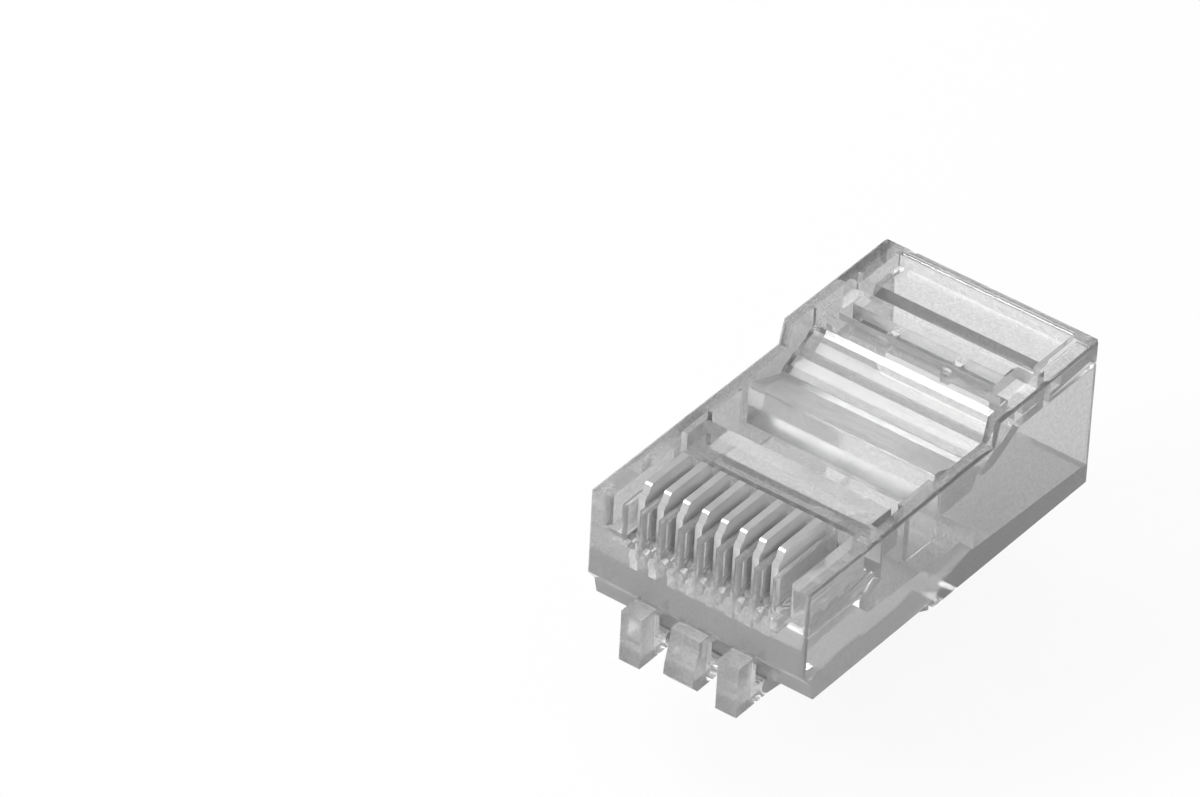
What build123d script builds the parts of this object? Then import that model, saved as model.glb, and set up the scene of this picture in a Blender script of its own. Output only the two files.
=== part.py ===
from build123d import *
import os

# An eight-way modular plug as supplied, before it is crimped to a cable.
# X is across the plug, +Y runs from the nose to the cable end, +Z is the contact side.
# The origin is on the latch-side face, in line with the nose, at mid width.
# Lengths are in millimetres, angles in degrees.

# Body
BODY_WIDTH = 11.68
BODY_LENGTH = 21.63
NOSE_TOP = 6.165
REAR_TOP = 7.384
REAR_UNDERSIDE = -0.415
SIDE_WALL = 0.6
EDGE_RADIUS = 0.18
REAR_CORNER_CHAMFER = 0.15

# Distances from the cable end, forward along the body
REAR_LENGTH = 7.68
SHOULDER_LENGTH = 8.01
UNDERSIDE_STEP_LENGTH = 11.83
JACKET_CAVITY_LENGTH = 8.68
CLAMP_LENGTH = 11.23
VALLEY_LENGTH = 8.43
RAMP_EDGE_LENGTH = 7.59
WALL_LENGTH = 6.18
JACKET_BAR_LENGTH = 4.83
GROOVE_LENGTH = 3.43
BLOCK_LENGTH = 3.93
LAND_LENGTH = 2.23
LIP_FOOT_LENGTH = 0.4
LIP_TOP_LENGTH = 0.08

# The nose is set back below its front face, to lead the plug into a jack
LEAD_IN_TOP = 1.65
LEAD_IN_LEDGE = 0.86
LEAD_IN_LEDGE_Y = 0.64
LEAD_IN_DEPTH = 0.84

# Conductor cavity, between the two thin side walls
CAVITY_START_Y = 4.95
CAVITY_BROW_Y = 5.78
CAVITY_BROW_Z = 3.45
CAVITY_BROW_DROP = 0.35
CAVITY_FLOOR_FRONT = 2.2
CAVITY_FLOOR_BACK = 1.82

# Ridge over the front of the cavity, with a slot at each end
RIDGE_BACK_Y = 7.3
RIDGE_UNDERSIDE = 4.3
RIDGE_END_GAP = 0.31
RIDGE_EDGE = 0.1

# A pad on each side wall, between the ridge and the conductor clamp bar
PAD_THICKNESS = 0.24
PAD_RIDGE_GAP = 0.4
PAD_CLAMP_GAP = 0.45
PAD_UNDERSIDE = 3.3

# Jacket cavity, open at the cable end
JACKET_FLOOR_FRONT = 0.83
JACKET_FLOOR_BACK = 0.40
JACKET_ROOF_FRONT = 5.85
JACKET_ROOF_BACK = 6.1

# Conductor clamp bar: a wedge with a tall front face and a thin web behind it
CLAMP_UNDERSIDE = 4.04
CLAMP_LAND = 0.3
VALLEY_Z = 5.2
WEB_THICKNESS = 0.42
RAMP_EDGE_Z = 5.65
RAMP_SAG = 0.17
CLAMP_END_GAP = 0.23

# Cross wall at the front of the rear section
WALL_THICKNESS = 0.4
WALL_FOOT_Z = 6.48
WALL_UNDERSIDE = 5.8

# Jacket clamp bar, its hinge groove and the rear lip
JACKET_BAR_TOP_WIDTH = 0.7
JACKET_BAR_TIP_Z = 5.8
JACKET_BAR_TIP_WIDTH = 0.5
JACKET_BAR_SLIT = 0.08
BLOCK_WIDTH = 1.09
GROOVE_Z = 6.15
GROOVE_FLAT = 1.0
LAND_Z = 6.65
LIP_BROW_Z = 7.06
GROOVE_END_WALL = 0.55
TAB_SPACING = 3.44
TAB_WIDTH = 0.45
TAB_TOP = 6.95
TAB_HEIGHT = 0.5

# Contacts and their comb
WAYS = 8
PITCH = 1.02
CONTACT_THICKNESS = 0.35
CONTACT_CLEARANCE = 0.03
CONTACT_FRONT_Y = 0.65
CONTACT_BACK_Y = 4.1
CONTACT_TOP = 6.95
CONTACT_TRAVEL = 0.9
CONTACT_STEP_Y = 0.87
CONTACT_STEP_Z = 6.5
CONTACT_STEP_WIDTH = 0.1
CONTACT_STEP_DROP = 0.02
CONTACT_CHIN_Z = 6.25
CONTACT_BROW_Y = 1.08
CONTACT_BROW_DROP = 0.08
CONTACT_CROWN_Y = 1.24
CONTACT_BACK_CHAMFER = 0.3
CONTACT_POINTS = 3
CONTACT_POINT_Z = 3.64
CONTACT_NOTCH_Z = 4.2
CONTACT_POINT_FLAT = 0.12
SLOT_WIDTH = 0.62
SLOT_FLOOR = 4.25
SLOT_END_Y = 4.62
CHEEK_WIDTH = 1.06
OUTER_RIB_WIDTH = 0.22
COMB_CORNER_RADIUS = 0.35
RIB_LEAD_IN = 0.14
LEAD_IN_ANGLE = 45
SLOT_MOUTH_RADIUS = 0.48
SLOT_MOUTH_DEPTH = 0.34
SLOT_MOUTH_DROP = 0.08

# Conductor channels under the contacts
CHANNEL_RADIUS = 0.465
CHANNEL_Z = 3.1
CHANNEL_START_Y = 1.2
CHANNEL_TIP = 0.35
FUNNEL_LENGTH = 1.1
FUNNEL_MOUTH_RADIUS = 0.62

# Latch: three prongs in front of the nose carry a springy arm below the body
LATCH_WIDTH = 6.34
PRONG_FRONT_Y = -1.0
PRONG_TOP = 1.4
PRONG_BACK_Y = 0.3
EAR_WIDTH = 1.12
CENTRE_PRONG_WIDTH = 1.57
CENTRE_PRONG_WAIST = 0.4
HINGE_Y = 1.35
HINGE_Z = -0.86
HINGE_RADIUS = 0.44
HINGE_CLEARANCE = 0.05
PRONG_END_Y = 1.12
ARM_BEND_Y = 2.4
ARM_BEND_DROP = 0.12
SHOULDER_Y = 8.36
SHOULDER_UNDERSIDE = -3.05
SHOULDER_THICKNESS = 1.5
TONGUE_WIDTH = 3.2
TONGUE_END_Y = 16.18
TONGUE_END_UNDERSIDE = -6.62
TONGUE_THICKNESS = 1.18
TONGUE_CORNER = 0.25

CUT_MARGIN = 1.0

inner_width = BODY_WIDTH - 2 * SIDE_WALL
comb_width = BODY_WIDTH - 2 * CHEEK_WIDTH
rear_front_y = BODY_LENGTH - REAR_LENGTH
shoulder_y = BODY_LENGTH - SHOULDER_LENGTH
underside_step_y = BODY_LENGTH - UNDERSIDE_STEP_LENGTH
jacket_start_y = BODY_LENGTH - JACKET_CAVITY_LENGTH
clamp_front_y = BODY_LENGTH - CLAMP_LENGTH
valley_y = BODY_LENGTH - VALLEY_LENGTH
ramp_edge_y = BODY_LENGTH - RAMP_EDGE_LENGTH
wall_front_y = BODY_LENGTH - WALL_LENGTH
wall_back_y = wall_front_y + WALL_THICKNESS
jacket_bar_front_y = BODY_LENGTH - JACKET_BAR_LENGTH
jacket_bar_back_y = jacket_bar_front_y + JACKET_BAR_TOP_WIDTH
groove_front_y = BODY_LENGTH - GROOVE_LENGTH
groove_back_y = groove_front_y + GROOVE_FLAT
land_y = BODY_LENGTH - LAND_LENGTH
lip_foot_y = BODY_LENGTH - LIP_FOOT_LENGTH
lip_top_y = BODY_LENGTH - LIP_TOP_LENGTH
block_length = BODY_LENGTH - BLOCK_LENGTH - wall_back_y
arm_underside = HINGE_Z - HINGE_RADIUS
arm_topside = HINGE_Z + HINGE_RADIUS
ear_x = (LATCH_WIDTH - EAR_WIDTH) / 2
seat_width = CONTACT_THICKNESS + 2 * CONTACT_CLEARANCE
seat_floor = CONTACT_POINT_Z - CONTACT_TRAVEL - CONTACT_CLEARANCE
slot_axis_z = SLOT_FLOOR + SLOT_WIDTH / 2


def contact_x(way):
    """Mid-plane of a contact, the first on the -X side."""
    return (way - (WAYS - 1) / 2) * PITCH


# Housing: the outer shape, seen from the side
with BuildPart() as housing:
    with BuildSketch(Plane.YZ):
        with BuildLine():
            Polyline(
                (0, LEAD_IN_TOP),
                (0, NOSE_TOP),
                (shoulder_y, NOSE_TOP),
                (rear_front_y, REAR_TOP),
                (BODY_LENGTH, REAR_TOP),
                (BODY_LENGTH, REAR_UNDERSIDE),
                (underside_step_y, REAR_UNDERSIDE),
                (underside_step_y, 0),
                (LEAD_IN_DEPTH, 0),
                (LEAD_IN_LEDGE_Y, LEAD_IN_LEDGE),
                close=True,
            )
        make_face()
    extrude(amount=BODY_WIDTH / 2, both=True)
    rear_edges = housing.edges().filter_by(Axis.Z).group_by(Axis.Y)[-1]
    chamfer(rear_edges, length=REAR_CORNER_CHAMFER)
    nose_edges = housing.edges().filter_by(Axis.Z).group_by(Axis.Y)[0]
    top_edges = housing.edges().filter_by_position(Axis.Z, NOSE_TOP, REAR_TOP)
    top_groups = top_edges.group_by(Axis.X)
    fillet(nose_edges + top_groups[0] + top_groups[-1], radius=EDGE_RADIUS)

    # The conductor cavity, with the floor falling towards the cable end
    with BuildSketch(Plane.YZ):
        with BuildLine():
            Polyline(
                (CAVITY_START_Y, CAVITY_FLOOR_FRONT),
                (CAVITY_START_Y, CAVITY_BROW_Z - CAVITY_BROW_DROP),
                (CAVITY_BROW_Y, CAVITY_BROW_Z),
                (CAVITY_BROW_Y, REAR_TOP + CUT_MARGIN),
                (jacket_start_y, REAR_TOP + CUT_MARGIN),
                (jacket_start_y, CAVITY_FLOOR_BACK),
                close=True,
            )
        make_face()
    extrude(amount=inner_width / 2, both=True, mode=Mode.SUBTRACT)

    # The jacket cavity
    with BuildSketch(Plane.YZ):
        with BuildLine():
            Polyline(
                (jacket_start_y, JACKET_FLOOR_FRONT),
                (jacket_start_y, REAR_TOP + CUT_MARGIN),
                (BODY_LENGTH + CUT_MARGIN, REAR_TOP + CUT_MARGIN),
                (BODY_LENGTH + CUT_MARGIN, JACKET_FLOOR_BACK),
                (BODY_LENGTH, JACKET_FLOOR_BACK),
                close=True,
            )
        make_face()
    extrude(amount=inner_width / 2, both=True, mode=Mode.SUBTRACT)

    # The ridge, joined to the nose along its front
    with BuildSketch(Plane.YZ):
        with BuildLine():
            Polyline(
                (CAVITY_BROW_Y, RIDGE_UNDERSIDE),
                (CAVITY_BROW_Y, NOSE_TOP),
                (RIDGE_BACK_Y - RIDGE_EDGE, NOSE_TOP),
                (RIDGE_BACK_Y, NOSE_TOP - RIDGE_EDGE),
                (RIDGE_BACK_Y, RIDGE_UNDERSIDE),
                close=True,
            )
        make_face()
    extrude(amount=inner_width / 2 - RIDGE_END_GAP, both=True)

    # The pads on the side walls
    pad_front_y = RIDGE_BACK_Y + PAD_RIDGE_GAP
    pad_length = clamp_front_y - PAD_CLAMP_GAP - pad_front_y
    with BuildSketch(Plane.XY.offset(PAD_UNDERSIDE)):
        with Locations((0, pad_front_y + pad_length / 2)):
            with GridLocations(inner_width - PAD_THICKNESS, 1, 2, 1):
                Rectangle(PAD_THICKNESS, pad_length)
    extrude(amount=NOSE_TOP - PAD_UNDERSIDE)

    # Web, ramp and cross wall, joined to both side walls
    with BuildSketch(Plane.YZ):
        with BuildLine():
            Polyline(
                (wall_front_y, WALL_FOOT_Z),
                (wall_front_y, REAR_TOP),
                (wall_back_y, REAR_TOP),
                (wall_back_y, WALL_UNDERSIDE),
                (ramp_edge_y, VALLEY_Z - WEB_THICKNESS),
                (valley_y, VALLEY_Z - WEB_THICKNESS),
                (valley_y, VALLEY_Z),
                (ramp_edge_y, RAMP_EDGE_Z),
            )
            SagittaArc((ramp_edge_y, RAMP_EDGE_Z), (wall_front_y, WALL_FOOT_Z), -RAMP_SAG)
        make_face()
    extrude(amount=inner_width / 2, both=True)

    # Conductor clamp bar, with a gap at each end
    with BuildSketch(Plane.YZ):
        with BuildLine():
            Polyline(
                (clamp_front_y, CLAMP_UNDERSIDE),
                (clamp_front_y, NOSE_TOP),
                (clamp_front_y + CLAMP_LAND, NOSE_TOP),
                (valley_y, VALLEY_Z),
                (valley_y, VALLEY_Z - WEB_THICKNESS),
                (valley_y - WEB_THICKNESS, CLAMP_UNDERSIDE),
                close=True,
            )
        make_face()
    extrude(amount=inner_width / 2 - CLAMP_END_GAP, both=True)

    # Groove web and rear lip, across the full width of the cavity
    with BuildSketch(Plane.YZ):
        with BuildLine():
            Polyline(
                (groove_back_y, GROOVE_Z),
                (groove_front_y, GROOVE_Z),
                (groove_front_y, JACKET_ROOF_FRONT),
                (BODY_LENGTH, JACKET_ROOF_BACK),
                (BODY_LENGTH, REAR_TOP),
                (lip_top_y, REAR_TOP),
            )
            TangentArc(
                (lip_foot_y, LIP_BROW_Z),
                (lip_top_y, REAR_TOP),
                tangent=(0, 1),
            )
            Polyline(
                (lip_foot_y, LIP_BROW_Z),
                (lip_foot_y, LAND_Z),
                (land_y, LAND_Z),
                (groove_back_y, GROOVE_Z),
            )
        make_face()
    extrude(amount=inner_width / 2, both=True)

    # The groove stops short of the side walls
    groove_end_x = (inner_width - GROOVE_END_WALL) / 2
    for side in (-1, 1):
        with BuildSketch(Plane.YZ.offset(side * groove_end_x)):
            with BuildLine():
                Polyline(
                    (groove_front_y, JACKET_ROOF_FRONT),
                    (groove_front_y, REAR_TOP),
                    (lip_top_y, REAR_TOP),
                    (lip_top_y, JACKET_ROOF_FRONT),
                    close=True,
                )
            make_face()
        extrude(amount=GROOVE_END_WALL / 2, both=True)

    # Jacket clamp bar, hinged on the groove web
    with BuildSketch(Plane.YZ):
        with BuildLine():
            Polyline(
                (jacket_bar_front_y, JACKET_BAR_TIP_Z),
                (jacket_bar_front_y, REAR_TOP),
                (jacket_bar_back_y, REAR_TOP),
                (groove_front_y, GROOVE_Z),
                (groove_front_y, JACKET_ROOF_FRONT),
                (jacket_bar_front_y + JACKET_BAR_TIP_WIDTH, JACKET_BAR_TIP_Z),
                close=True,
            )
        make_face()
    extrude(amount=inner_width / 2 - BLOCK_WIDTH - JACKET_BAR_SLIT, both=True)

    # A block on each side wall, beside the jacket clamp bar
    with BuildSketch(Plane.XY.offset(JACKET_ROOF_FRONT)):
        with Locations((0, wall_back_y + block_length / 2)):
            with GridLocations(inner_width - BLOCK_WIDTH, 1, 2, 1):
                Rectangle(BLOCK_WIDTH, block_length)
    extrude(amount=REAR_TOP - JACKET_ROOF_FRONT)

    # Two break-off tabs hold the jacket clamp bar to the cross wall
    tab_length = jacket_bar_front_y - wall_back_y
    with BuildSketch(Plane.XY.offset(TAB_TOP)):
        with Locations((0, wall_back_y + tab_length / 2)):
            with GridLocations(TAB_SPACING, 1, 2, 1):
                Rectangle(TAB_WIDTH, tab_length)
    extrude(amount=-TAB_HEIGHT)

    # Slots between the comb's ribs, open to the front, with round floors
    with BuildSketch(Plane.XZ.offset(-SLOT_END_Y)):
        with Locations((0, (slot_axis_z + NOSE_TOP + CUT_MARGIN) / 2)):
            with GridLocations(PITCH, 1, WAYS, 1):
                Rectangle(SLOT_WIDTH, NOSE_TOP + CUT_MARGIN - slot_axis_z)
        with Locations((0, slot_axis_z)):
            with GridLocations(PITCH, 1, WAYS, 1):
                Circle(SLOT_WIDTH / 2)
    extrude(amount=SLOT_END_Y + CUT_MARGIN, mode=Mode.SUBTRACT)

    # Each slot widens at its mouth, like a countersunk hole
    slot_mouth_z = slot_axis_z - SLOT_MOUTH_DROP
    for way in range(WAYS):
        with BuildSketch(Plane.YZ.offset(contact_x(way))):
            with BuildLine():
                Polyline(
                    (0, slot_mouth_z),
                    (0, slot_mouth_z + SLOT_MOUTH_RADIUS),
                    (SLOT_MOUTH_DEPTH, slot_mouth_z),
                    close=True,
                )
            make_face()
        mouth_axis = Axis((contact_x(way), 0, slot_mouth_z), (0, 1, 0))
        revolve(axis=mouth_axis, mode=Mode.SUBTRACT)

    # The ribs are pointed in front
    with BuildSketch(Plane.XY.offset(slot_axis_z)):
        with Locations((0, RIB_LEAD_IN / 2)):
            with GridLocations(PITCH, 1, WAYS, 1):
                Trapezoid(SLOT_WIDTH + 2 * RIB_LEAD_IN, RIB_LEAD_IN, LEAD_IN_ANGLE)
    extrude(amount=NOSE_TOP, mode=Mode.SUBTRACT)

    # Outside the outermost ribs the comb is open up to the cheeks
    comb_side = (comb_width - (WAYS - 1) * PITCH - SLOT_WIDTH) / 2
    lane_width = comb_side - OUTER_RIB_WIDTH
    for side in (-1, 1):
        with BuildSketch(Plane.XY.offset(slot_axis_z)):
            with Locations((side * (comb_width - lane_width) / 2, SLOT_END_Y / 2)):
                Rectangle(lane_width, SLOT_END_Y)
        extrude(amount=NOSE_TOP, mode=Mode.SUBTRACT)
    nose_edges = housing.edges().filter_by(Axis.Z).filter_by_position(Axis.Y, 0, 0)
    cheek_edges = nose_edges.group_by(Axis.X)
    fillet(cheek_edges[0] + cheek_edges[-1], radius=COMB_CORNER_RADIUS)

    # Narrow seats below the slots guide the contacts down into the channels
    seat_length = CONTACT_BACK_Y - CONTACT_FRONT_Y + 2 * CONTACT_CLEARANCE
    with BuildSketch(Plane.XY.offset(seat_floor)):
        with Locations((0, (CONTACT_FRONT_Y + CONTACT_BACK_Y) / 2)):
            with GridLocations(PITCH, 1, WAYS, 1):
                Rectangle(seat_width, seat_length)
    extrude(amount=NOSE_TOP - seat_floor, mode=Mode.SUBTRACT)

    # Round conductor channels with a pointed blind end and a funnel mouth
    for way in range(WAYS):
        with BuildSketch(Plane.YZ.offset(contact_x(way))):
            with BuildLine():
                Polyline(
                    (CHANNEL_START_Y - CHANNEL_TIP, CHANNEL_Z),
                    (CHANNEL_START_Y, CHANNEL_Z + CHANNEL_RADIUS),
                    (CAVITY_BROW_Y - FUNNEL_LENGTH, CHANNEL_Z + CHANNEL_RADIUS),
                    (CAVITY_BROW_Y, CHANNEL_Z + FUNNEL_MOUTH_RADIUS),
                    (CAVITY_BROW_Y, CHANNEL_Z),
                    close=True,
                )
            make_face()
        channel_axis = Axis((contact_x(way), 0, CHANNEL_Z), (0, 1, 0))
        revolve(axis=channel_axis, mode=Mode.SUBTRACT)

    # Outer prongs of the latch, square in front and hooked under the nose
    for side in (-1, 1):
        with BuildSketch(Plane.YZ.offset(side * ear_x)):
            with BuildLine():
                Polyline(
                    (LEAD_IN_DEPTH, PRONG_TOP),
                    (PRONG_FRONT_Y, PRONG_TOP),
                    (PRONG_FRONT_Y, arm_underside),
                    (PRONG_END_Y, arm_underside),
                    (PRONG_END_Y, arm_topside),
                    (PRONG_BACK_Y, arm_topside),
                    (PRONG_BACK_Y, LEAD_IN_LEDGE),
                    (LEAD_IN_DEPTH, LEAD_IN_LEDGE),
                    close=True,
                )
            make_face()
        extrude(amount=EAR_WIDTH / 2, both=True)

    # Centre prong, waisted at its root and bulging towards its tip
    with BuildSketch(Plane.YZ):
        with BuildLine():
            Polyline(
                (PRONG_FRONT_Y + CENTRE_PRONG_WAIST, PRONG_TOP),
                (LEAD_IN_DEPTH, PRONG_TOP),
                (LEAD_IN_DEPTH, LEAD_IN_LEDGE),
                (PRONG_BACK_Y, LEAD_IN_LEDGE),
                (PRONG_BACK_Y, arm_topside),
                (PRONG_END_Y, arm_topside),
                (PRONG_END_Y, arm_underside),
                (PRONG_FRONT_Y + CENTRE_PRONG_WAIST, arm_underside),
                (PRONG_FRONT_Y, HINGE_Z),
            )
            Spline(
                (PRONG_FRONT_Y, HINGE_Z),
                (PRONG_FRONT_Y + CENTRE_PRONG_WAIST, PRONG_TOP),
                tangents=[(0, 1), (0, 1)],
            )
        make_face()
    extrude(amount=CENTRE_PRONG_WIDTH / 2, both=True)

    # The prongs end in a round seat for the arm
    with BuildSketch(Plane.YZ):
        with Locations((HINGE_Y, HINGE_Z)):
            Circle(HINGE_RADIUS + HINGE_CLEARANCE)
    extrude(amount=LATCH_WIDTH / 2 + CUT_MARGIN, both=True, mode=Mode.SUBTRACT)
housing.part.label = "housing"

# Latch arm: a wide plate up to its two locking shoulders, then a narrow tongue
tongue_slope = (TONGUE_END_UNDERSIDE - SHOULDER_UNDERSIDE) / (TONGUE_END_Y - SHOULDER_Y)
tongue_rise = TONGUE_THICKNESS * (1 + tongue_slope**2) ** 0.5
with BuildPart() as latch:
    with BuildSketch(Plane.YZ):
        with BuildLine():
            Polyline(
                (HINGE_Y, arm_topside),
                (ARM_BEND_Y, arm_topside - ARM_BEND_DROP),
                (SHOULDER_Y, SHOULDER_UNDERSIDE + SHOULDER_THICKNESS),
                (SHOULDER_Y, SHOULDER_UNDERSIDE),
                (ARM_BEND_Y, arm_underside - ARM_BEND_DROP),
                (HINGE_Y, arm_underside),
            )
            ThreePointArc(
                (HINGE_Y, arm_underside),
                (HINGE_Y - HINGE_RADIUS, HINGE_Z),
                (HINGE_Y, arm_topside),
            )
        make_face()
    extrude(amount=LATCH_WIDTH / 2, both=True)
    with BuildSketch(Plane.YZ):
        with BuildLine():
            Polyline(
                (SHOULDER_Y, SHOULDER_UNDERSIDE),
                (SHOULDER_Y, SHOULDER_UNDERSIDE + tongue_rise),
                (TONGUE_END_Y, TONGUE_END_UNDERSIDE + tongue_rise),
                (TONGUE_END_Y, TONGUE_END_UNDERSIDE),
                close=True,
            )
        make_face()
    extrude(amount=TONGUE_WIDTH / 2, both=True)
    tongue_corners = latch.edges().filter_by(Axis.Z).group_by(Axis.Y)[-1]
    fillet(tongue_corners, radius=TONGUE_CORNER)
latch.part.label = "latch"


def make_contact(way):
    """One stamped contact, with a rounded nose and piercing points below."""
    point_pitch = (CONTACT_BACK_Y - CONTACT_FRONT_Y) / CONTACT_POINTS
    teeth = []
    for tooth in range(CONTACT_POINTS):
        start = CONTACT_FRONT_Y + tooth * point_pitch
        middle = start + point_pitch / 2
        teeth += [
            (start, CONTACT_NOTCH_Z),
            (middle - CONTACT_POINT_FLAT / 2, CONTACT_POINT_Z),
            (middle + CONTACT_POINT_FLAT / 2, CONTACT_POINT_Z),
        ]
    with BuildPart() as contact:
        with BuildSketch(Plane.YZ.offset(contact_x(way))):
            with BuildLine():
                Polyline(
                    *teeth,
                    (CONTACT_BACK_Y, CONTACT_NOTCH_Z),
                    (CONTACT_BACK_Y, CONTACT_TOP - CONTACT_BACK_CHAMFER),
                    (CONTACT_BACK_Y - CONTACT_BACK_CHAMFER, CONTACT_TOP),
                    (CONTACT_CROWN_Y, CONTACT_TOP),
                )
                TangentArc(
                    (CONTACT_CROWN_Y, CONTACT_TOP),
                    (CONTACT_BROW_Y, CONTACT_TOP - CONTACT_BROW_DROP),
                    tangent=(-1, 0),
                )
                Polyline(
                    (CONTACT_BROW_Y, CONTACT_TOP - CONTACT_BROW_DROP),
                    (CONTACT_STEP_Y, CONTACT_STEP_Z),
                    (CONTACT_STEP_Y - CONTACT_STEP_WIDTH, CONTACT_STEP_Z - CONTACT_STEP_DROP),
                    (CONTACT_FRONT_Y, CONTACT_CHIN_Z),
                    (CONTACT_FRONT_Y, CONTACT_NOTCH_Z),
                )
            make_face()
        extrude(amount=CONTACT_THICKNESS / 2, both=True)
    contact.part.label = f"contact_{way + 1}"
    return contact.part


os.makedirs("parts", exist_ok=True)
export_step(housing.part, "parts/housing.step")
export_step(latch.part, "parts/latch.step")
for way in range(WAYS):
    export_step(make_contact(way), f"parts/contact_{way + 1}.step")
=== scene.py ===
import bmesh
import bpy
from mathutils import Matrix, Vector

MM = 0.001

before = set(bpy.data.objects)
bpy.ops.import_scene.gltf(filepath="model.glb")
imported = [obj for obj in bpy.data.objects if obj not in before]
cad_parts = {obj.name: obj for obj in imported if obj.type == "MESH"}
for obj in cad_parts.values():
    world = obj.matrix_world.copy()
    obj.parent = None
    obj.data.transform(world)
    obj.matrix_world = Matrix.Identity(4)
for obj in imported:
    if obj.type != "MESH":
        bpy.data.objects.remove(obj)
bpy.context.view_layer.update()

# Camera, fitted to the photograph: its place in millimetres, and its directions
CAMERA_AT = (197.544, -287.159, 280.134)
CAMERA_RIGHT = (0.797038, 0.602515, 0.041309)
CAMERA_DOWN = (0.392764, -0.465178, -0.793313)
CAMERA_FORWARD = (-0.458767, 0.648525, -0.607411)
CAMERA_NEAR = 0.01
CAMERA_FAR = 10.0
SENSOR = 36.0
LENS = 309.825

# Plastic: how clear it is, the range of its tone and of its roughness
PLASTIC_IOR = 1.585
CLEAR_SHARE = 0.82
TINT_DARK = 0.65
TINT_LIGHT = 0.88
ROUGH_LOW = 0.0
ROUGH_HIGH = 0.08

# Plastic: the noise behind its waves, haze and grain, and the unevenness that they give
WAVE_SCALE = 260.0
WAVE_DETAIL = 1.0
WAVE_HEIGHT = 0.012 * MM
HAZE_SCALE = 1500.0
HAZE_BAND = (0.45, 0.75)
GRAIN_SCALE = 7000.0
GRAIN_BAND = (0.3, 0.7)
PLAIN_GRAIN = 0.04
FINE_DETAIL = 3.0

# Places on the plastic that differ from the rest. Each has a range of distance from the middle
# of the width (from below zero where it takes in the middle), a range of Y and a range of Z, in
# millimetres, and then the painted light and shade added to tone, and what is added to grain
# and roughness.
FINISH_AND_PAINTED_LIGHT_PLACES = [
    # The conductor clamp bar and the web behind it are spark-eroded, rougher and grainier,
    # and their tone is painted lighter as painted light where the matt face catches the lamps
    ((-1.0, 5.02), (10.39, 14.06), (4.0, 6.17), 0.12, 0.25, 0.14),
    # The prongs in front of the nose are rougher, and painted a little darker as painted shade
    ((-1.0, 3.5), (-1.1, -0.01), (-1.4, 1.5), -0.14, 0.0, 0.3),
    # Painted shade darkens the sides, and the walls behind the nose, seen deep along their
    # faces
    ((5.8, 5.9), (-0.01, 21.7), (-0.5, 7.5), -0.13, 0.0, 0.0),
    ((5.23, 5.8), (5.79, 21.7), (0.5, 7.5), -0.13, 0.0, 0.0),
    # Painted shade darkens the ridge too, through to the channels below it
    ((-1.0, 4.94), (4.63, 7.31), (4.0, 6.2), -0.1, 0.0, 0.0),
    # Painted light makes the nose with its thin ribs, and the shapes around the jacket clamp
    # bar, lighter
    ((-1.0, 5.79), (-0.01, 4.63), (0.01, 6.2), 0.12, 0.0, 0.0),
    ((-1.0, 5.23), (15.44, 21.7), (5.7, 7.45), 0.09, 0.0, 0.0),
]

# Contacts: the tone of their flat sides, how much painted shade darkens the sheared edges, and
# roughness
METAL_SHARE = 0.5
METAL_DARK = 0.85
METAL_LIGHT = 0.93
METAL_EDGE_PAINTED_SHADE = 0.27
METAL_ROUGH_LOW = 0.12
METAL_ROUGH_HIGH = 0.18

# Contacts: stains, and grain drawn out along the blade
STAIN_SCALE = 900.0
STAIN_DETAIL = 2.0
STAIN_BAND = (0.3, 0.7)
BLADE_GRAIN_SCALE = 9000.0
BLADE_GRAIN_STRETCH = (1.0, 0.15, 1.0)
BLADE_GRAIN_BAND = (0.35, 0.7)
BLADE_GRAIN_STRENGTH = 0.1
BLADE_GRAIN_HEIGHT = 0.002 * MM

# A surface is one of a contact's edges, which get painted shade, where its normal has less than
# this along X
EDGE_NORMAL = 0.5

# Floor: its height just below the latch, half its width, and its paper
FLOOR_Z = -6.64 * MM
FLOOR_HALF = 2.0
FLOOR_CELLS = 8
PAPER_SCALE = 60.0
PAPER_DETAIL = 2.0
PAPER_BAND = (0.3, 0.7)
PAPER_DARK = 0.93
PAPER_LIGHT = 0.95

# Share of plain white in the floor, where it is seen directly, and in or through something
FLOOR_PLAIN_SHARE = 0.9
FLOOR_MIRRORED_SHARE = 0.45

# Softboxes: offset from the point they face in metres, size and power
LIGHTS_FACE = (0.0, 10 * MM, 2 * MM)
LIGHTS = {
    "key": ((-0.275, -0.402, 0.349), (0.24, 0.16), 1.5),
    "top": ((-0.24, -0.08, 0.44), (0.22, 0.22), 0.65),
    "fill": ((0.12, -0.55, 0.12), (0.3, 0.3), 1.0),
}

# Studio tone by height of the direction, from the horizon to overhead
STUDIO = [(0.0, 0.5), (0.3, 0.5), (0.6, 0.45), (1.0, 0.7)]


def node(tree, kind, **values):
    """A shader node, with its own settings and then its unlinked sockets set by name."""
    made = tree.nodes.new(kind)
    for name, value in values.items():
        if hasattr(made, name):
            setattr(made, name, value)
        else:
            made.inputs[name.replace("_", " ")].default_value = value
    return made


def new_material(name):
    material = bpy.data.materials.new(name)
    material.use_nodes = True
    tree = material.node_tree
    tree.nodes.clear()
    output = node(tree, "ShaderNodeOutputMaterial")
    return material, tree, output


def ramp(tree, source, stops):
    """A colour ramp on a value; stops are (position, grey)."""
    stops = list(stops)
    made = node(tree, "ShaderNodeValToRGB")
    band = made.color_ramp
    while len(band.elements) < len(stops):
        band.elements.new(1.0)
    for element, (position, grey) in zip(band.elements, stops):
        element.position = position
        element.color = (grey, grey, grey, 1.0)
    tree.links.new(source, made.inputs["Fac"])
    return made.outputs["Color"]


def bump(tree, height, strength, distance):
    made = node(tree, "ShaderNodeBump", Strength=strength, Distance=distance)
    tree.links.new(height, made.inputs["Height"])
    return made.outputs["Normal"]


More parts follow.
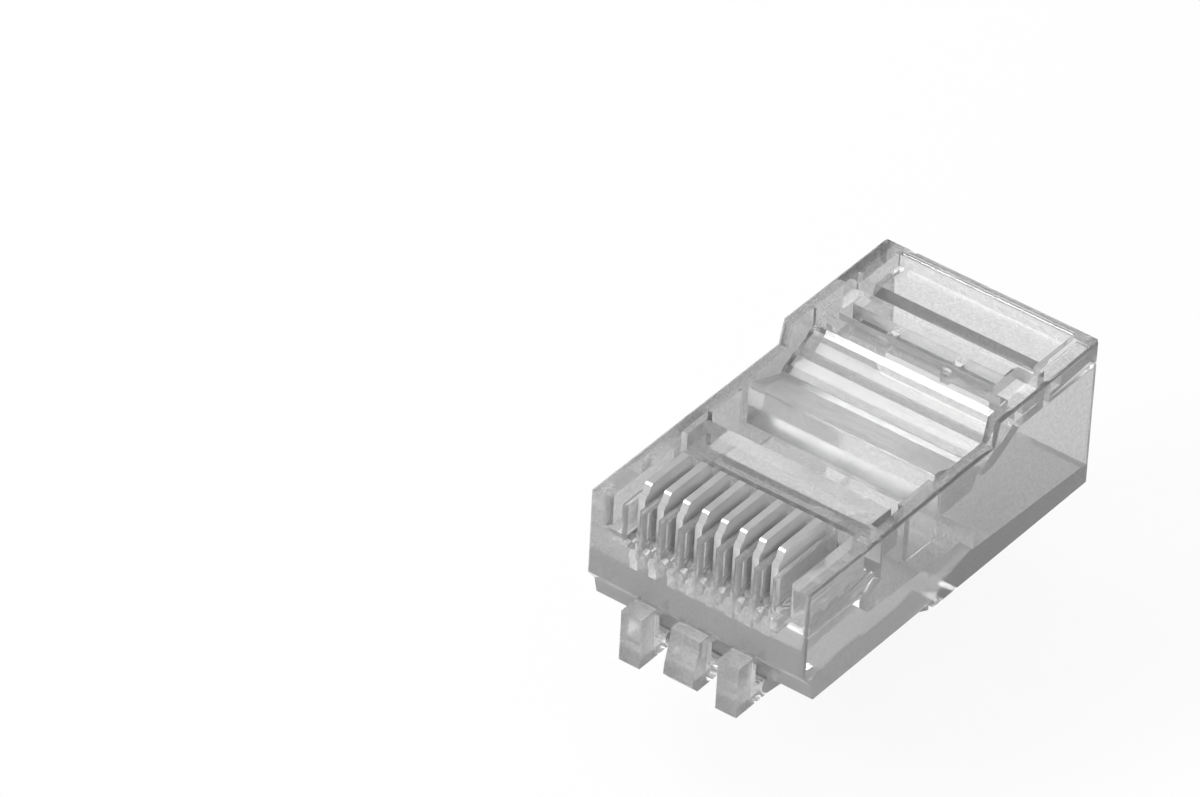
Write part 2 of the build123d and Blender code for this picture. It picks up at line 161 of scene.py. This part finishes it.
def reckon(tree, operation, first, second):
    """A math node on two values, each a number or an output of another node."""
    made = node(tree, "ShaderNodeMath", operation=operation)
    for socket, value in zip(made.inputs, (first, second)):
        if isinstance(value, float):
            socket.default_value = value
        else:
            tree.links.new(value, socket)
    return made.outputs["Value"]


def between(tree, value, low, high):
    """1 where a value lies between two limits, else 0."""
    above = reckon(tree, "GREATER_THAN", value, low)
    below = reckon(tree, "LESS_THAN", value, high)
    return reckon(tree, "MULTIPLY", above, below)


def clear_plastic():
    """Clear moulded polycarbonate, slightly grey and hazy, differing from place to place in
    roughness, grain and painted light and shade.
    """
    material, tree, output = new_material("clear_polycarbonate")
    shader = node(tree, "ShaderNodeBsdfPrincipled", IOR=PLASTIC_IOR)
    shader.inputs["Transmission Weight"].default_value = CLEAR_SHARE
    place = node(tree, "ShaderNodeTexCoord")
    parts = node(tree, "ShaderNodeSeparateXYZ")
    waves = node(tree, "ShaderNodeTexNoise", Scale=WAVE_SCALE, Detail=WAVE_DETAIL)
    haze = node(tree, "ShaderNodeTexNoise", Scale=HAZE_SCALE, Detail=FINE_DETAIL)
    grain = node(tree, "ShaderNodeTexNoise", Scale=GRAIN_SCALE, Detail=FINE_DETAIL)
    for target in (parts, waves, haze, grain):
        tree.links.new(place.outputs["Object"], target.inputs["Vector"])
    tone_and_painted_light = ramp(tree, grain.outputs["Fac"], zip(GRAIN_BAND, (TINT_DARK, TINT_LIGHT)))
    rough = ramp(tree, haze.outputs["Fac"], zip(HAZE_BAND, (ROUGH_LOW, ROUGH_HIGH)))
    grain_share = PLAIN_GRAIN
    aside = reckon(tree, "ABSOLUTE", parts.outputs["X"], 0.0)
    # Each place adds painted light and shade to the tone, and grain and roughness
    for *ranges, painted_tone, more_grain, more_rough in FINISH_AND_PAINTED_LIGHT_PLACES:
        here = 1.0
        for distance, limits in zip((aside, parts.outputs["Y"], parts.outputs["Z"]), ranges):
            inside = between(tree, distance, *(limit * MM for limit in limits))
            here = reckon(tree, "MULTIPLY", here, inside)
        tone_and_painted_light = reckon(tree, "ADD", tone_and_painted_light, reckon(tree, "MULTIPLY", here, painted_tone))
        rough = reckon(tree, "ADD", rough, reckon(tree, "MULTIPLY", here, more_rough))
        grain_share = reckon(
            tree, "ADD", grain_share, reckon(tree, "MULTIPLY", here, more_grain)
        )
    tree.links.new(tone_and_painted_light, shader.inputs["Base Color"])
    tree.links.new(rough, shader.inputs["Roughness"])
    height = reckon(
        tree, "ADD", waves.outputs["Fac"],
        reckon(tree, "MULTIPLY", grain.outputs["Fac"], grain_share),
    )
    tree.links.new(bump(tree, height, 1.0, WAVE_HEIGHT), shader.inputs["Normal"])
    tree.links.new(shader.outputs["BSDF"], output.inputs["Surface"])
    return material


def contact_metal():
    """Plated stamped metal with fine grain along the blade, and painted shade darkening its
    sheared edges.
    """
    material, tree, output = new_material("plated_metal")
    shader = node(tree, "ShaderNodeBsdfPrincipled", Metallic=METAL_SHARE)
    place = node(tree, "ShaderNodeTexCoord")
    grain_space = node(tree, "ShaderNodeMapping")
    grain_space.inputs["Scale"].default_value = BLADE_GRAIN_STRETCH
    grain = node(tree, "ShaderNodeTexNoise", Scale=BLADE_GRAIN_SCALE, Detail=FINE_DETAIL)
    stain = node(tree, "ShaderNodeTexNoise", Scale=STAIN_SCALE, Detail=STAIN_DETAIL)
    facing = node(tree, "ShaderNodeSeparateXYZ")
    tree.links.new(place.outputs["Normal"], facing.inputs["Vector"])
    tree.links.new(place.outputs["Object"], grain_space.inputs["Vector"])
    tree.links.new(grain_space.outputs["Vector"], grain.inputs["Vector"])
    tree.links.new(place.outputs["Object"], stain.inputs["Vector"])
    tone_and_painted_light = ramp(tree, stain.outputs["Fac"], zip(STAIN_BAND, (METAL_DARK, METAL_LIGHT)))
    # Painted shade: the blade's edges, its top and front faces, are darker than its flat sides
    painted_shade_edges = between(tree, facing.outputs["X"], -EDGE_NORMAL, EDGE_NORMAL)
    tone_and_painted_light = reckon(tree, "SUBTRACT", tone_and_painted_light, reckon(tree, "MULTIPLY", painted_shade_edges, METAL_EDGE_PAINTED_SHADE))
    tree.links.new(tone_and_painted_light, shader.inputs["Base Color"])
    rough = ramp(
        tree, grain.outputs["Fac"],
        zip(BLADE_GRAIN_BAND, (METAL_ROUGH_LOW, METAL_ROUGH_HIGH)),
    )
    tree.links.new(rough, shader.inputs["Roughness"])
    marks = bump(tree, grain.outputs["Fac"], BLADE_GRAIN_STRENGTH, BLADE_GRAIN_HEIGHT)
    tree.links.new(marks, shader.inputs["Normal"])
    tree.links.new(shader.outputs["BSDF"], output.inputs["Surface"])
    return material


def floor_material():
    """A plain white sheet that keeps shadows, and can be seen through from below."""
    material, tree, output = new_material("white_sheet")
    paper = node(tree, "ShaderNodeBsdfDiffuse")
    grain = node(tree, "ShaderNodeTexNoise", Scale=PAPER_SCALE, Detail=PAPER_DETAIL)
    shade = ramp(tree, grain.outputs["Fac"], zip(PAPER_BAND, (PAPER_DARK, PAPER_LIGHT)))
    tree.links.new(shade, paper.inputs["Color"])
    open_back = node(tree, "ShaderNodeBsdfTransparent")
    # Part of the sheet's tone is plain white where it is seen directly, in metal or in plastic
    plain = node(tree, "ShaderNodeEmission", Strength=1.0)
    rays = node(tree, "ShaderNodeLightPath")
    direct = reckon(tree, "MULTIPLY", rays.outputs["Is Camera Ray"], FLOOR_PLAIN_SHARE)
    mirrored = reckon(tree, "MULTIPLY", rays.outputs["Is Glossy Ray"], FLOOR_MIRRORED_SHARE)
    through = reckon(
        tree, "MULTIPLY", rays.outputs["Is Transmission Ray"], FLOOR_MIRRORED_SHARE
    )
    share = reckon(tree, "MAXIMUM", direct, reckon(tree, "MAXIMUM", mirrored, through))
    front = node(tree, "ShaderNodeMixShader")
    tree.links.new(share, front.inputs["Fac"])
    tree.links.new(paper.outputs["BSDF"], front.inputs[1])
    tree.links.new(plain.outputs["Emission"], front.inputs[2])
    geometry = node(tree, "ShaderNodeNewGeometry")
    both = node(tree, "ShaderNodeMixShader")
    tree.links.new(geometry.outputs["Backfacing"], both.inputs["Fac"])
    tree.links.new(front.outputs["Shader"], both.inputs[1])
    tree.links.new(open_back.outputs["BSDF"], both.inputs[2])
    tree.links.new(both.outputs["Shader"], output.inputs["Surface"])
    return material


def add_camera():
    data = bpy.data.cameras.new("camera")
    data.sensor_width = SENSOR
    data.lens = LENS
    data.clip_start = CAMERA_NEAR
    data.clip_end = CAMERA_FAR
    camera = bpy.data.objects.new("camera", data)
    turn = Matrix((CAMERA_RIGHT, -Vector(CAMERA_DOWN), -Vector(CAMERA_FORWARD))).transposed()
    camera.matrix_world = Matrix.Translation(Vector(CAMERA_AT) * MM) @ turn.to_4x4()
    bpy.context.scene.collection.objects.link(camera)
    bpy.context.scene.camera = camera


def add_area_light(name, at, aim, width, height, watts):
    data = bpy.data.lights.new(name, "AREA")
    data.shape = "RECTANGLE"
    data.size = width
    data.size_y = height
    data.energy = watts
    light = bpy.data.objects.new(name, data)
    light.location = at
    light.rotation_mode = "QUATERNION"
    light.rotation_quaternion = (Vector(aim) - Vector(at)).to_track_quat("-Z", "Y")
    bpy.context.scene.collection.objects.link(light)


def add_floor():
    mesh = bpy.data.meshes.new("floor")
    sheet = bmesh.new()
    bmesh.ops.create_grid(
        sheet, x_segments=FLOOR_CELLS, y_segments=FLOOR_CELLS, size=FLOOR_HALF
    )
    sheet.to_mesh(mesh)
    sheet.free()
    floor = bpy.data.objects.new("floor", mesh)
    floor.location = (0, 0, FLOOR_Z)
    mesh.materials.append(floor_material())
    bpy.context.scene.collection.objects.link(floor)


def light_world():
    """An even grey studio, a little brighter overhead."""
    world = bpy.data.worlds.new("studio")
    world.use_nodes = True
    tree = world.node_tree
    tree.nodes.clear()
    output = node(tree, "ShaderNodeOutputWorld")
    background = node(tree, "ShaderNodeBackground")
    place = node(tree, "ShaderNodeTexCoord")
    parts = node(tree, "ShaderNodeSeparateXYZ")
    tree.links.new(place.outputs["Generated"], parts.inputs["Vector"])
    shade = ramp(tree, parts.outputs["Z"], STUDIO)
    tree.links.new(shade, background.inputs["Color"])
    tree.links.new(background.outputs["Background"], output.inputs["Surface"])
    bpy.context.scene.world = world


plastic = clear_plastic()
metal = contact_metal()
for name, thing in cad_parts.items():
    thing.data.materials.clear()
    thing.data.materials.append(metal if name.startswith("contact") else plastic)

add_camera()
add_floor()
light_world()
aim = Vector(LIGHTS_FACE)
for name, (offset, (width, height), watts) in LIGHTS.items():
    add_area_light(name, aim + Vector(offset), aim, width, height, watts)

bpy.context.scene.view_settings.view_transform = "Standard"
